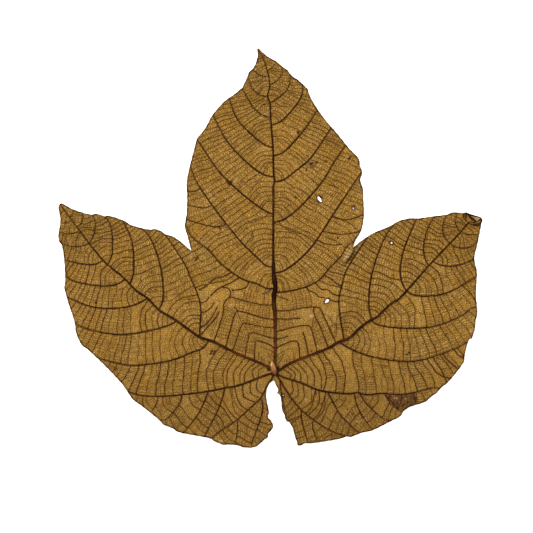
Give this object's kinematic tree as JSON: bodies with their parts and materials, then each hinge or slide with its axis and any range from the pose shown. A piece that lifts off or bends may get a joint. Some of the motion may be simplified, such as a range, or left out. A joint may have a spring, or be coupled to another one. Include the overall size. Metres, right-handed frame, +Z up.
{
  "type": "macaranga leaf",
  "caption": "Dried macaranga leaf with three broad lobes and raised palmate veins, lying with its veined underside up on a flat surface.",
  "frame": {"origin": "on the surface that the leaf lies on, under the middle of the leaf's box", "axes": "+Z up, out of the veined underside that faces up; +Y along the midrib towards the middle lobe's tip; +X to the right as the leaf is seen from above"},
  "size_m": [0.2526, 0.238, 0.0118],
  "materials": {
    "leaf_blade": "matt dry leaf tissue, ochre brown between dark brown veins"
  },
  "bodies": {
    "root": {"leaf": "leaf_blade"}
  },
  "joints": []
}
